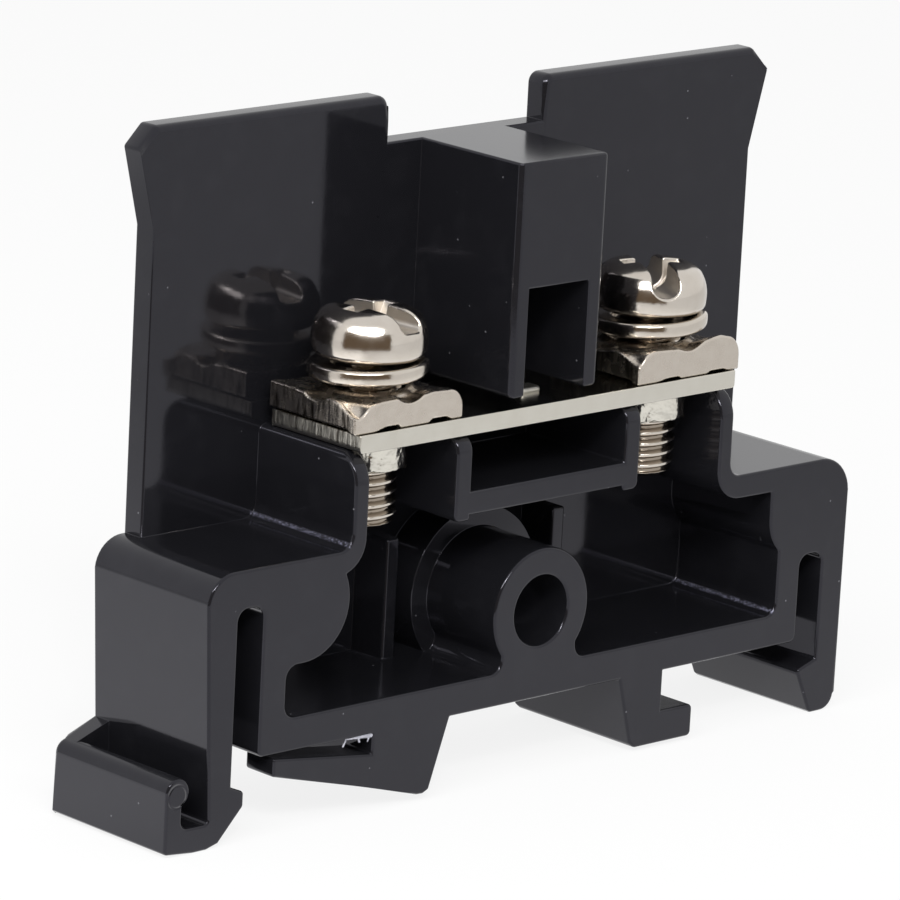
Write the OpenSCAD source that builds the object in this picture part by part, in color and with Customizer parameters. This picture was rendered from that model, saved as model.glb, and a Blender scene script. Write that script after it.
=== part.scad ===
// Rail mounted barrier terminal block: a black moulded housing with a tall barrier
// at its back, one plated conductor bar and two clamp screws with captive washers.
// The tie rod bore's axis is the Y axis. The open front face lies at Y = 0.

/* [Rail] */
// Width of the rail that the block clips onto
rail_w = 35; // [33:0.5:38]
// Thickness of the rail's flange
rail_t = 1; // [0.8:0.1:1.4]
// Play between the rail and each leg
rail_play = 0.28; // [0.1:0.02:0.5]
// Gap between the rail's flange and the noses that hold it
nose_gap = 0.05; // [0.02:0.01:0.2]

/* [Housing] */
// Depth from the open front to the back
depth = 7.5; // [7.1:0.1:10]
// Thickness of the barrier
barrier_t = 1.15; // [0.8:0.05:1.4]
// Depth of the cavity's floor below the bore's axis
floor_drop = 2.5; // [2:0.1:3.5]
// Thickness of the floor
floor_t = 1.5; // [1:0.1:2.5]
// Thickness of the cavity's end walls
end_wall_t = 1.45; // [1:0.05:2]
// Height of the shoulders above the bore's axis
shoulder_h = 4.45; // [4.2:0.05:5.2]
// Thickness of the shoulders
shoulder_t = 1.1; // [0.8:0.05:1.3]
// Height of the bar's seat above the bore's axis
seat_h = 8.6; // [8.3:0.1:11]
// Thickness of the walls that carry the bar's ends
seat_wall_t = 0.8; // [0.6:0.05:1.2]
// Inside radius of the bend from shoulder to wall
bend_r = 0.7; // [0.4:0.05:1]
// Radius of the fillets inside the cavity
cavity_r = 0.6; // [0.3:0.05:0.9]
// Radius of the block that fills the cavity's upper left corner
left_lobe_r = 2.52; // [2.1:0.02:2.8]
// Radius of the bulge in the cavity's right end wall
right_lobe_r = 2.05; // [1.7:0.05:2.3]

/* [Tie rod] */
// Diameter of the tie rod bore
bore_d = 3.2; // [2.8:0.1:3.6]
// Diameter of the boss around the bore
boss_d = 5.7; // [5:0.1:6.4]
// Diameter of the boss's wider base
boss_base_d = 7.6; // [7:0.1:8.2]
// Height of the wider base and the ribs on the back wall
base_h = 2; // [1:0.1:3]
// Height of those ribs above the cavity's floor
rib_h = 5.5; // [4:0.1:6.5]

/* [Nut box] */
// Gap between the bar's collars and the box's walls
box_gap = 1.05; // [0.6:0.05:1.6]
// Thickness of the box's walls
box_wall_t = 0.9; // [0.7:0.05:1.2]
// Depth of the box below the bar
box_drop = 2.55; // [2:0.05:2.8]
// Thickness of the box's floor
box_floor_t = 1.05; // [0.7:0.05:1.3]

/* [Barrier] */
// Width of the barrier
barrier_w = 35.8; // [34:0.2:38]
// Height of the barrier above the bore's axis
barrier_h = 22.35; // [21:0.1:28]
// How far the barrier's ears flare at each end
ear_flare = 0.9; // [0.4:0.1:1.4]
// Height over which the ears flare
ear_h = 3.5; // [2:0.1:5]
// Chamfer at the ears' top corners
ear_chamfer = 0.92; // [0.5:0.02:1.2]
// Width of the gap between the barrier's two halves
gap_w = 9.3; // [7:0.1:11]
// Depth of that gap, down to the post's top
gap_h = 2.05; // [1.2:0.05:3]

/* [Post] */
// Width of the post in front of the barrier
post_w = 5.3; // [4.6:0.1:6]
// Width of the window in the post
window_w = 3.6; // [3:0.1:4]
// Height of the window's top above the bar
window_h = 5.25; // [3.5:0.05:7]
// Gap between the bar and the post's feet
post_gap = 0.45; // [0.2:0.05:0.8]

/* [Legs] */
// Width of the slots between the legs and the body
slot_w = 1.43; // [1.1:0.05:1.8]
// Height of the left slot's top above the bore's axis
left_slot_h = 2.72; // [1:0.1:2.9]
// Height of the right slot's top above the bore's axis
right_slot_h = 0.05; // [-0.5:0.05:1.5]
// Thickness of the left leg at its shoulder
left_leg_t = 1.74; // [1.5:0.02:2.2]
// Thickness of the left leg at its foot
left_foot_t = 1.22; // [1:0.02:1.5]
// Thickness of the right leg at its shoulder
right_leg_t = 1.5; // [1.2:0.05:2]
// Thickness of the right leg at its foot
right_foot_t = 1.36; // [1:0.05:1.7]
// Reach of the left leg's nose under the rail
left_nose = 0.73; // [0.4:0.05:1]
// Reach of the right leg's nose under the rail
right_nose = 1.15; // [0.7:0.05:1.3]
// Height of each nose below the rail's flange
nose_h = 2.55; // [2.2:0.05:3.2]
// Corner radius of the left shoulder
left_corner_r = 1.45; // [1:0.05:1.7]
// Corner radius of the right shoulder
right_corner_r = 1.8; // [1.2:0.05:2.1]

/* [Release lever] */
// Distance from the left leg's foot to the lever's outer face
lever_reach = 2.4; // [2.2:0.1:3.4]
// Thickness of the lever's lip
lip_t = 0.9; // [0.7:0.05:1]
// Height of the lip, its bead included
lip_h = 3.45; // [3:0.05:4]
// Diameter of the bead along the lip's top edge
bead_d = 1.28; // [1.1:0.02:1.5]
// Depth of the channel between lip and leg
channel_h = 2.3; // [1.9:0.1:2.5]
// Thickness of the web that closes the channel's back end
web_t = 1; // [0.7:0.05:1.4]

/* [Feet] */
// Distance of the left foot's stem from the bore's axis
barb_x = 5.2; // [4.6:0.1:6]
// Width of the left foot's stem
barb_stem_w = 4.55; // [3.8:0.05:5]
// Reach of the left foot's tongue
barb_reach = 5.7; // [4.5:0.1:6.2]
// Depth of that tongue from the front face
barb_d = 1.8; // [1.4:0.1:3]
// Gap above the tongue at its root
barb_gap = 0.95; // [0.7:0.05:1.2]
// Distance of the right foot's stem from the bore's axis
hook_x = 5.15; // [4.6:0.1:6]
// Width of the right foot's stem
hook_stem_w = 2.72; // [2.2:0.02:3.2]
// Reach of the right foot's hook
hook_reach = 2; // [1.4:0.1:2.6]
// Thickness of the hook
hook_t = 1.5; // [1.1:0.05:1.8]
// Height of the feet below the floor
feet_h = 3.38; // [3:0.02:3.5]

/* [Conductor bar] */
// Length of the bar
bar_l = 22.65; // [22.3:0.05:23.4]
// Width of the bar
bar_w = 5.7; // [5.4:0.1:6]
// Thickness of the bar
bar_t = 0.82; // [0.7:0.02:1]
// Diameter of the collars drawn out around the threads
collar_d = 3.7; // [3.5:0.1:4.4]
// Height of the collars below the bar
collar_h = 1.4; // [0.8:0.1:1.8]

/* [Screws] */
// Distance of each screw's axis from the bar's end
screw_inset = 2.88; // [2.7:0.02:3.1]
// Thread diameter
thread_d = 3; // [2.6:0.1:3.2]
// Gap between the thread and its hole, all round
thread_gap = 0.03; // [0.02:0.01:0.05]
// Length of the shank below the head
shank_l = 7.5; // [6.8:0.1:9]
// Head diameter
head_d = 5.1; // [4.9:0.05:5.6]
// Head height
head_h = 2.15; // [1.6:0.05:2.4]
// Radius of the head's shoulder
head_r = 1; // [0.5:0.05:1.1]
// Width of the driver slot
driver_slot_w = 1.2; // [0.9:0.05:1.3]
// Depth of the driver slot
driver_slot_h = 1.1; // [0.9:0.05:1.2]
// Width of the cross recess's arms
cross_w = 0.8; // [0.6:0.05:1]
// Length of the cross recess, tip to tip
cross_l = 3; // [2.6:0.1:3.4]
// Direction of the left screw's slot
left_slot_turn = -82; // [-180:1:180]
// Direction of the right screw's slot
right_slot_turn = -117; // [-180:1:180]

/* [Washers] */
// Outer diameter of the spring washers
spring_d = 5.3; // [4.8:0.05:5.6]
// Thickness of the spring washers
spring_t = 0.7; // [0.5:0.05:0.9]
// Rise of a spring washer from end to end
spring_rise = 0.38; // [0.1:0.02:0.5]
// Angle of the split in a spring washer
split_angle = 14; // [6:1:24]
// Side of the square washers along the bar
square_l = 6.3; // [6:0.05:6.5]
// Thickness of the square washers
square_t = 1.2; // [1:0.05:1.3]
// Height of the arches under the square washers
arch_h = 0.18; // [0.1:0.02:0.3]
// Height of the turned up rim around a square washer's hole
rim_h = 0.36; // [0.3:0.02:0.6]
// Thickness left at the square washers' low front corner
corner_t = 0.5; // [0.4:0.05:0.8]
// Gap between the washers' holes and the thread, all round
washer_gap = 0.15; // [0.1:0.05:0.3]
// Gap between parts that move against each other
running_gap = 0.02; // [0.02:0.01:0.05]

/* [Hidden] */
$fn = 64;
eps = 0.05;

// Levels above the bore's axis
floor_z = -floor_drop;
body_z = floor_z - floor_t;
under_z = shoulder_h - shoulder_t;
bar_z = seat_h + bar_t;
square_z = bar_z + running_gap;
spring_z = square_z + square_t + rim_h + running_gap;
head_z = spring_z + spring_t + spring_rise + running_gap;
post_z = bar_z + post_gap;
post_top = barrier_h - gap_h;
nose_z = body_z - rail_t - nose_gap;
foot_z = nose_z - nose_h;
lip_z = foot_z + lip_h;
channel_z = lip_z - channel_h;
feet_z = body_z - feet_h;

// Places across the block, from the bore's axis outwards
back_y = depth - barrier_t;
leg_in = rail_w / 2 + rail_play;
body_x = leg_in - slot_w;
cavity_x = body_x - end_wall_t;
wall_out = bar_l / 2 + 0.1;
wall_in = wall_out - seat_wall_t;
screw_x = bar_l / 2 - screw_inset;
box_out = screw_x - collar_d / 2 - box_gap;
box_in = box_out - box_wall_t;
box_z = seat_h - box_drop - box_floor_t;
left_top = leg_in + left_leg_t;
left_foot = leg_in + left_foot_t;
right_top = leg_in + right_leg_t;
right_foot = leg_in + right_foot_t;
lip_out = left_foot + lever_reach;
lip_in = lip_out - lip_t;
screw_y = bar_w / 2;
hole_r = thread_d / 2 + washer_gap;
square_w = bar_w - 0.2;

// Colours of the parts
plastic = [0.08, 0.08, 0.09];
nickel = [0.80, 0.77, 0.72];
screw_nickel = [0.84, 0.80, 0.74];
washer_nickel = [0.74, 0.69, 0.64];

// Rectangle between two corners of the front view
module span(x0, x1, z0, z1) {
    translate([x0, z0]) square([x1 - x0, z1 - z0]);
}

// Piece between a right angled corner and the arc that rounds it, turned into its quadrant
module spandrel(x, z, r, turn) {
    translate([x, z]) rotate(turn) difference() {
        translate([-eps, -eps]) square(r + eps);
        translate([r, r]) circle(r);
    }
}

// A front view shape carried from one depth to another
module slab(y0, y1) {
    translate([0, y1, 0]) rotate([90, 0, 0]) linear_extrude(y1 - y0) children();
}

// A slot with a rounded top, open at its lower end
module slot_cut(x0, x1, z0, z1) {
    r = 0.38 * (x1 - x0);
    difference() {
        span(x0, x1, z0, z1);
        spandrel(x0, z1, r, -90);
        spandrel(x1, z1, r, 180);
    }
}

// Front view of the block that closes the cavity's upper left corner
module left_lobe() {
    lobe_x = -cavity_x + 0.95;
    lobe_z = left_lobe_r - 0.2;
    intersection() {
        translate([lobe_x, lobe_z]) circle(left_lobe_r);
        span(-body_x, 0, -0.2, shoulder_h - eps);
    }
    span(-body_x, lobe_x, -0.2, shoulder_h - eps);
    spandrel(-cavity_x, -0.2, cavity_r, -90);
}

// Front view of the bulge in the right end wall
module right_lobe() {
    intersection() {
        translate([body_x - 0.1, right_lobe_r]) circle(right_lobe_r);
        span(0, body_x, -right_lobe_r, under_z + eps);
    }
    span(body_x - 0.1 - right_lobe_r, body_x, right_lobe_r, under_z + eps);
}

// Front view of one shoulder with the wall bent up from it to the bar's seat
module bent_wall(out) {
    outer_r = bend_r + seat_wall_t;
    top_r = 0.4;
    difference() {
        union() {
            span(wall_in, out, under_z, shoulder_h);
            span(wall_in, wall_out, under_z, seat_h);
        }
        spandrel(wall_in, under_z, outer_r, 0);
        spandrel(wall_out, seat_h, top_r, 180);
    }
    spandrel(wall_out, shoulder_h, bend_r, 0);
}

// Front view of the floor and the end walls
module tray() {
    edge_r = 0.35;
    difference() {
        span(-body_x, body_x, body_z, shoulder_h - eps);
        span(-cavity_x, cavity_x, floor_z, shoulder_h);
        spandrel(-body_x, body_z, edge_r, 0);
        spandrel(body_x, body_z, edge_r, 90);
    }
    spandrel(-cavity_x, floor_z, cavity_r, 0);
    spandrel(cavity_x, floor_z, cavity_r, 90);
}

// Front view of the boss and the web that carries it
module boss() {
    web = 0.79 * boss_d / 2;
    circle(d = boss_d);
    span(-web, web, floor_z - eps, 0);
    spandrel(web, floor_z, cavity_r, 0);
    spandrel(-web, floor_z, cavity_r, 90);
}

// Front view of the open box under the middle of the bar
module nut_box() {
    tab = 0.25;
    tab_r = 0.35;
    for (side = [0, 1]) mirror([side, 0]) {
        difference() {
            span(box_in, box_out, box_z - tab, seat_h);
            spandrel(box_out, box_z - tab, tab_r, 90);
        }
    }
    span(-box_in - eps, box_in + eps, box_z, box_z + box_floor_t);
}

// Front view of the left leg with its nose and the release lever
module left_leg() {
    bead_r = bead_d / 2;
    base_x = left_foot + 0.8;
    inner_r = 0.4;
    polygon([
        [-left_top, under_z], [-left_foot, channel_z - eps], [-left_foot, foot_z + nose_h],
        [-leg_in, foot_z + nose_h], [-leg_in, under_z]
    ]);
    polygon([
        [-left_foot, nose_z], [-leg_in, nose_z], [-leg_in + left_nose, nose_z - 0.3],
        [-leg_in + left_nose, nose_z - 0.95], [-leg_in - 0.62, foot_z + 0.17],
        [-left_foot - 0.05, foot_z], [-base_x, foot_z], [-lip_out + 0.1, foot_z + 0.14],
        [-lip_out, foot_z + 0.3], [-lip_out, channel_z], [-left_foot, channel_z]
    ]);
    span(-lip_out, -lip_in, foot_z + 0.5, lip_z - bead_r);
    translate([-lip_out + bead_r, lip_z - bead_r]) circle(d = bead_d);
    spandrel(-lip_in, channel_z, inner_r, 0);
    spandrel(-left_foot, channel_z, 0.25, 90);
}

// Front view of the web that closes the back end of the lever's channel
module lever_web() {
    polygon([
        [-lip_out + 0.3, channel_z - eps], [-left_foot + eps, channel_z - eps],
        [-left_foot + eps, lip_z + 0.68], [-left_foot - 0.06, lip_z + 0.68],
        [-lip_out + 0.5, lip_z], [-lip_out + 0.3, lip_z - 0.2]
    ]);
}

// Front view of the right leg with its nose
module right_leg() {
    toe_r = 0.8;
    difference() {
        polygon([
            [leg_in, under_z], [right_top, under_z], [right_foot, foot_z], [leg_in - 0.1, foot_z],
            [leg_in - 0.28, foot_z + 0.15], [leg_in - right_nose, nose_z - 0.5],
            [leg_in - right_nose + 0.06, nose_z - 0.34], [leg_in, nose_z]
        ]);
        spandrel(right_foot, foot_z, toe_r, 90);
    }
}

// Front view of the left foot's stem
module barb_stem() {
    polygon([
        [-barb_x, body_z + eps], [-barb_x, body_z], [-barb_x - 1.05, feet_z + 0.24],
        [-barb_x - 1.4, feet_z + 0.1], [-barb_x - 1.75, feet_z + 0.12],
        [-barb_x - barb_stem_w, feet_z + 0.92], [-barb_x - barb_stem_w, body_z + eps]
    ]);
}

// Front view of the left foot's tongue
module barb_tongue() {
    root = -barb_x - barb_stem_w;
    tip = root - barb_reach;
    polygon([
        [root + eps, feet_z + 0.92], [root + eps, body_z - barb_gap], [tip, body_z - 0.2],
        [tip, body_z - 1]
    ]);
}

// Front view of the right foot's stem and hook
module hook() {
    stem = hook_x + hook_stem_w;
    tip = stem + hook_reach;
    tip_r = 0.25;
    difference() {
        union() {
            polygon([
                [hook_x, body_z + eps], [hook_x, body_z], [hook_x + 0.8, feet_z + 0.3],
                [hook_x + 1.15, feet_z], [stem, feet_z], [stem, body_z + eps]
            ]);
            span(hook_x + 1.2, tip, feet_z, feet_z + hook_t);
        }
        spandrel(tip, feet_z, tip_r, 90);
        spandrel(tip, feet_z + hook_t, tip_r, 180);
    }
}

// Front view of the barrier, with its flared ears and the gap at the post
module barrier() {
    half = barrier_w / 2;
    gap = gap_w / 2;
    inner_r = 0.5;
    for (side = [0, 1]) mirror([side, 0]) {
        difference() {
            polygon([
                [gap - eps, shoulder_h - eps], [half, shoulder_h - eps],
                [half, barrier_h - ear_chamfer - ear_h],
                [half + ear_flare, barrier_h - ear_chamfer],
                [half + ear_flare - ear_chamfer, barrier_h], [gap, barrier_h], [gap, shoulder_h]
            ]);
            spandrel(gap, barrier_h, inner_r, -90);
        }
    }
    span(-gap - eps, gap + eps, shoulder_h - eps, post_top);
}

// Front view of everything that runs from the front face to the back
module frame() {
    difference() {
        union() {
            tray();
            bent_wall(right_top);
            mirror([1, 0]) bent_wall(left_top);
            left_lobe();
            right_lobe();
            left_leg();
            right_leg();
            span(body_x - eps, right_top, under_z, shoulder_h);
            span(-left_top, -body_x + eps, under_z, shoulder_h);
            span(body_x - eps, leg_in + eps, right_slot_h - slot_w, under_z + eps);
            span(-leg_in - eps, -body_x + eps, left_slot_h - slot_w, under_z + eps);
            boss();
            nut_box();
            barb_stem();
            hook();
        }
        spandrel(-left_top, shoulder_h, left_corner_r, -90);
        spandrel(right_top, shoulder_h, right_corner_r, 180);
        slot_cut(-leg_in, -body_x, body_z - eps, left_slot_h);
        slot_cut(body_x, leg_in, body_z - eps, right_slot_h);
    }
}

// Rounding of an upright wall's upper front corner, across the whole block
module front_round(x0, x1, r) {
    translate([x0, 0, seat_h]) rotate([90, 0, 90]) linear_extrude(x1 - x0) spandrel(0, 0, r, -90);
}

// The black moulding
module housing() {
    wall_round = 1.4;
    box_round = 0.8;
    rib_t = 0.75;
    color(plastic) difference() {
        union() {
            slab(0, depth) frame();
            slab(back_y, depth) barrier();
            slab(back_y, depth) span(-body_x, body_x, body_z + 0.35, shoulder_h);
            slab(0, back_y + eps) span(-post_w / 2, post_w / 2, post_z, post_top);
            slab(back_y - base_h, back_y + eps) circle(d = boss_base_d);
            for (side = [0, 1]) mirror([side, 0, 0]) {
                slab(back_y - base_h, back_y + eps) span(box_in, box_in + rib_t, floor_z - eps, floor_z + rib_h);
            }
            slab(0, barb_d) barb_tongue();
            slab(depth - web_t, depth) lever_web();
        }
        slab(-eps, back_y) span(-window_w / 2, window_w / 2, post_z - eps, bar_z + window_h);
        slab(-eps, depth + eps) circle(d = bore_d);
        for (side = [0, 1]) mirror([side, 0, 0]) {
            front_round(wall_in - eps, wall_out + eps, wall_round);
            front_round(box_in - eps, box_out + eps, box_round);
        }
    }
}

// The plated bar with its two drawn and threaded collars
module conductor_bar() {
    tap_r = thread_d / 2 + thread_gap;
    color(nickel) difference() {
        union() {
            translate([-bar_l / 2, 0, seat_h]) cube([bar_l, bar_w, bar_t]);
            for (x = [-screw_x, screw_x]) {
                translate([x, screw_y, seat_h - collar_h]) cylinder(d = collar_d, h = collar_h + eps);
            }
        }
        for (x = [-screw_x, screw_x]) {
            translate([x, screw_y, seat_h - collar_h - eps]) {
                cylinder(r = tap_r, h = collar_h + bar_t + 2 * eps);
            }
        }
    }
}

// Half of the head's section: flat top, rounded shoulder and lower edge
module head_section() {
    low_r = 0.4;
    difference() {
        span(0, head_d / 2, 0, head_h);
        spandrel(head_d / 2, head_h, head_r, 180);
        spandrel(head_d / 2, 0, low_r, 90);
    }
}

// A driver slot with a rounded floor, cut right across the head
module driver_slot() {
    r = driver_slot_w / 2;
    translate([-head_d, 0, head_h - driver_slot_h + r]) rotate([0, 90, 0]) cylinder(r = r, h = 2 * head_d);
    translate([-head_d, -r, head_h - driver_slot_h + r]) cube([2 * head_d, driver_slot_w, head_h]);
}

// One clamp screw on its own axis, with the underside of the head at Z = 0
module clamp_screw(turn) {
    point = 0.3;
    core_r = thread_d / 2 - point;
    cross_h = 1.25;
    difference() {
        union() {
            rotate_extrude() head_section();
            translate([0, 0, point - shank_l]) cylinder(d = thread_d, h = shank_l - point + eps);
            translate([0, 0, -shank_l]) cylinder(r1 = core_r, r2 = thread_d / 2, h = point);
        }
        rotate(turn) {
            driver_slot();
            for (a = [0, 90]) rotate(a) {
                translate([-cross_l / 2, -cross_w / 2, head_h - cross_h]) cube([cross_l, cross_w, head_h]);
            }
        }
    }
}

// A split ring that lies flat from its low end and climbs to its high end
module split_ring() {
    steps = 48;
    high_end = -50;
    climb = 3;
    sweep = 360 - split_angle;
    section = [[hole_r, 0], [spring_d / 2, 0], [spring_d / 2, spring_t], [hole_r, spring_t]];
    points = [
        for (i = [0:steps]) for (c = section)
            let (share = i / steps, a = high_end - sweep * (1 - share))
            [c[0] * cos(a), c[0] * sin(a), c[1] + spring_rise * pow(share, climb)]
    ];
    sides = [
        for (i = [0:steps - 1]) for (k = [0:3])
            let (p = 4 * i + k, q = 4 * i + (k + 1) % 4)
            for (face = [[p, q, q + 4], [p, q + 4, p + 4]]) face
    ];
    last = 4 * steps;
    ends = [[0, 2, 1], [0, 3, 2], [last, last + 1, last + 2], [last, last + 2, last + 3]];
    polyhedron(points, concat(sides, ends));
}

// Front view of a square washer: two arches below and one raised corner
module washer_section() {
    half = square_l / 2;
    hump_r = 2.4;
    corner_r = 0.5;
    arch_w = 0.24 * square_l;
    arch_r = arch_w * arch_w / (8 * arch_h) + arch_h / 2;
    difference() {
        union() {
            span(-half, half, 0, square_t);
            intersection() {
                translate([half - 1, square_t + 0.1 - hump_r]) circle(hump_r);
                span(-half, half, square_t / 2, 2 * square_t);
            }
        }
        spandrel(half, square_t + 0.05, corner_r, 180);
        for (x = [-0.2 * square_l, 0.3 * square_l]) {
            translate([x, arch_h - arch_r]) circle(arch_r);
        }
    }
}

// A square clamp washer with its underside at Z = 0
module square_washer() {
    drop = square_t - corner_t;
    run_x = 1.7;
    run_y = 1;
    lean = atan2(drop * sqrt(run_x * run_x + run_y * run_y), run_x * run_y);
    aim = atan2(-run_x, -run_y);
    rim_r = hole_r + 0.5;
    difference() {
        union() {
            translate([0, -square_w / 2, 0]) slab(0, square_w) washer_section();
            cylinder(r = rim_r, h = square_t + rim_h);
        }
        translate([0, 0, -eps]) cylinder(r = hole_r, h = 2 * square_t);
        translate([-square_l / 2, -square_w / 2, corner_t]) rotate([0, lean, aim]) {
            translate([-3, -3, 0]) cube([6, 6, 2]);
        }
    }
}

module left_screw() {
    color(screw_nickel) translate([-screw_x, screw_y, head_z]) clamp_screw(left_slot_turn);
}

module right_screw() {
    color(screw_nickel) translate([screw_x, screw_y, head_z]) clamp_screw(right_slot_turn);
}

module left_spring_washer() {
    color(screw_nickel) translate([-screw_x, screw_y, spring_z]) split_ring();
}

module right_spring_washer() {
    color(screw_nickel) translate([screw_x, screw_y, spring_z]) split_ring();
}

module left_square_washer() {
    color(washer_nickel) translate([-screw_x, screw_y, square_z]) square_washer();
}

module right_square_washer() {
    color(washer_nickel) translate([screw_x, screw_y, square_z]) square_washer();
}

housing();
conductor_bar();
left_screw();
right_screw();
left_spring_washer();
right_spring_washer();
left_square_washer();
right_square_washer();
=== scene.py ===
import math

import bmesh
import bpy
import numpy as np
from mathutils import Matrix, Vector
from mathutils.geometry import delaunay_2d_cdt


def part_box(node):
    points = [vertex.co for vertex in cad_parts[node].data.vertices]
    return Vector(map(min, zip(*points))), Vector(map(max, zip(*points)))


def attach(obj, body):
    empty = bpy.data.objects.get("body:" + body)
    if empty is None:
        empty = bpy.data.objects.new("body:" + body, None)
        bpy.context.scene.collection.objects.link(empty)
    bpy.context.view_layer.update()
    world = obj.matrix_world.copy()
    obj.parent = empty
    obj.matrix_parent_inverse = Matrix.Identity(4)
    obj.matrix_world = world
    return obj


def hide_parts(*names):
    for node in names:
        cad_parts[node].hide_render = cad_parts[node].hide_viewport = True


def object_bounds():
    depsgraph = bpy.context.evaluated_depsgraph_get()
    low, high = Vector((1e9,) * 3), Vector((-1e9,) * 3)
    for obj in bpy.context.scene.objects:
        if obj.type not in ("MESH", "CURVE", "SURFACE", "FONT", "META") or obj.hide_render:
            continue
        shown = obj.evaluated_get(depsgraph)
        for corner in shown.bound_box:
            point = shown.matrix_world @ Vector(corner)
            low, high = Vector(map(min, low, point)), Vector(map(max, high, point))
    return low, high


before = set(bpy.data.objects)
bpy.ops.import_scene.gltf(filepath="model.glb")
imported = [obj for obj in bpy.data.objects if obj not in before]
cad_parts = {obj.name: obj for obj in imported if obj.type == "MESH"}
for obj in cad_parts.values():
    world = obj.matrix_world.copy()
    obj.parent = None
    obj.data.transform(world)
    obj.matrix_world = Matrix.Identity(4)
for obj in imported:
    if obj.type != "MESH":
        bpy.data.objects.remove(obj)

cadBox = [list(corner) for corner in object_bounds()]
mm = 0.001  # the frame is in metres, the sizes below are in millimetres


# Shared tools

def linear(hexColour):
    parts = [int(hexColour[i:i + 2], 16) / 255 for i in (1, 3, 5)]
    return [p / 12.92 if p <= 0.04045 else ((p + 0.055) / 1.055) ** 2.4 for p in parts] + [1]


def addNode(tree, kind, settings, links=()):
    node = tree.nodes.new("ShaderNode" + kind)
    for key, value in settings.items():
        if isinstance(key, str) and hasattr(node, key):
            setattr(node, key, value)
        else:
            node.inputs[key].default_value = value
    for key, source in dict(links).items():
        tree.links.new(source, node.inputs[key])
    return node


def newMaterial(name):
    material = bpy.data.materials.new(name)
    material.use_nodes = True
    tree = material.node_tree
    return material, tree, tree.nodes["Principled BSDF"]


def nodeCentre(node):
    low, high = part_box(node)
    return np.array((low + high) / 2) / mm


def smoothStep(t):
    t = np.clip(t, 0, 1)
    return t * t * (3 - 2 * t)


# Intersection of two distance fields with a round edge between them
def roundCut(a, b, r):
    return np.minimum(np.maximum(a, b), -r) + np.hypot(np.maximum(a + r, 0), np.maximum(b + r, 0))


# Union of two distance fields with a fillet between them
def roundJoin(a, b, r):
    return -roundCut(-a, -b, r)


def slopeOf(shape, points, reach=0.004):
    slope = np.empty_like(points)
    for axis in range(3):
        nudge = np.zeros(3)
        nudge[axis] = reach
        slope[:, axis] = (shape(points + nudge) - shape(points - nudge)) / (2 * reach)
    return slope


# Quads round the zero level of a distance field: one point in each cell that the surface
# passes through, moved onto the surface, with the field's own slope as its normal
def skin(shape, low, high, step):
    axes = [np.arange(a - 2 * step, b + 3 * step, step) for a, b in zip(low, high)]
    grid = np.stack(np.meshgrid(*axes, indexing="ij"), -1)
    inside = shape(grid.reshape(-1, 3)).reshape(grid.shape[:3]) < 0
    count = sum(inside[i:len(axes[0]) - 1 + i, j:len(axes[1]) - 1 + j, k:len(axes[2]) - 1 + k].astype(int)
                for i in (0, 1) for j in (0, 1) for k in (0, 1))
    mixed = (count > 0) & (count < 8)
    index = np.full(mixed.shape, -1)
    index[mixed] = np.arange(mixed.sum())
    points = grid[:-1, :-1, :-1][mixed] + step / 2
    quads = []
    for order in ((0, 1, 2), (1, 2, 0), (2, 0, 1)):
        solid, cell = inside.transpose(order), index.transpose(order)
        i, j, k = np.nonzero(solid[:-1, 1:-1, 1:-1] != solid[1:, 1:-1, 1:-1])
        ring = np.stack([cell[i, j, k], cell[i, j + 1, k], cell[i, j + 1, k + 1], cell[i, j, k + 1]], 1)
        backward = ~solid[i, j + 1, k + 1]
        ring[backward] = ring[backward, ::-1]
        quads.append(ring)
    for _ in range(8):
        slope = slopeOf(shape, points)
        move = shape(points) / np.maximum((slope ** 2).sum(1), 0.05)
        points -= slope * np.clip(move, -step, step)[:, None]
    slope = slopeOf(shape, points)
    return points, np.concatenate(quads), slope / np.linalg.norm(slope, axis=1)[:, None]


# One object from one or more sets of points, faces and normals, placed in the frame
def meshPiece(name, parts, node, body, finish, marks=()):
    points = np.concatenate([p for p, f, n in parts]) * mm
    normals = np.concatenate([n for p, f, n in parts])
    faces = []
    start = 0
    for p, f, n in parts:
        faces += [[start + i for i in face] for face in (f.tolist() if hasattr(f, "tolist") else f)]
        start += len(p)
    mesh = bpy.data.meshes.new(name)
    mesh.from_pydata(points.tolist(), [], faces)
    mesh.polygons.foreach_set("use_smooth", [True] * len(faces))
    mesh.normals_split_custom_set_from_vertices(normals.tolist())
    for markName, values in dict(marks).items():
        addMark(mesh, markName, "POINT", values)
    mesh.materials.append(finish)
    return placePiece(name, mesh, node, body)


def addMark(mesh, name, domain, values):
    mark = mesh.attributes.new(name, "FLOAT", domain)
    mark.data.foreach_set("value", np.asarray(values, np.float32))


def placePiece(name, mesh, node, body):
    piece = bpy.data.objects.new(name, mesh)
    bpy.context.scene.collection.objects.link(piece)
    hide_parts(node)
    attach(piece, body)
    return piece


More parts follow.
